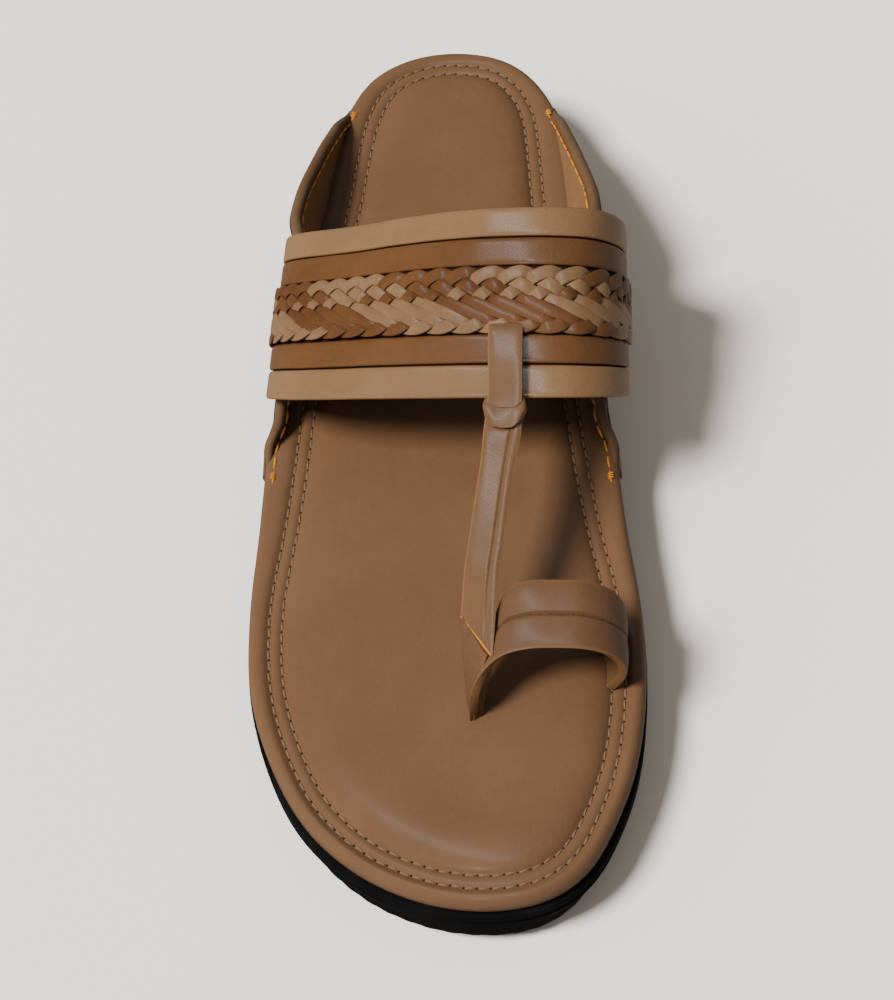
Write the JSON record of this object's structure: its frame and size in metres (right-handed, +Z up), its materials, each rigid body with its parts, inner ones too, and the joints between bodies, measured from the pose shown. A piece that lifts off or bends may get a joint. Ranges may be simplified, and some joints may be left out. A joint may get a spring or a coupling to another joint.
{
  "type": "kolhapuri sandal",
  "caption": "Open right sandal: flat rubber sole, padded leather footbed, strip and braid instep band, T strap and big toe loop.",
  "frame": {"origin": "on the floor under the middle of the sandal's bounding box", "axes": "+Z up from the floor, -Y towards the toe, +Y towards the heel, +X towards the big toe side"},
  "size_m": [0.1038, 0.2732, 0.0747],
  "materials": {
    "outsole": "matte",
    "footbed": "satin",
    "side_flap_lateral": "satin",
    "side_flap_medial": "satin",
    "instep_band": "satin",
    "toe_strap": "satin",
    "strap_keeper": "satin"
  },
  "bodies": {
    "root": {"outsole": "outsole", "footbed": "footbed", "side_flap_lateral": "side_flap_lateral", "side_flap_medial": "side_flap_medial", "instep_band": "instep_band", "toe_strap": "toe_strap", "strap_keeper": "strap_keeper"}
  },
  "joints": []
}
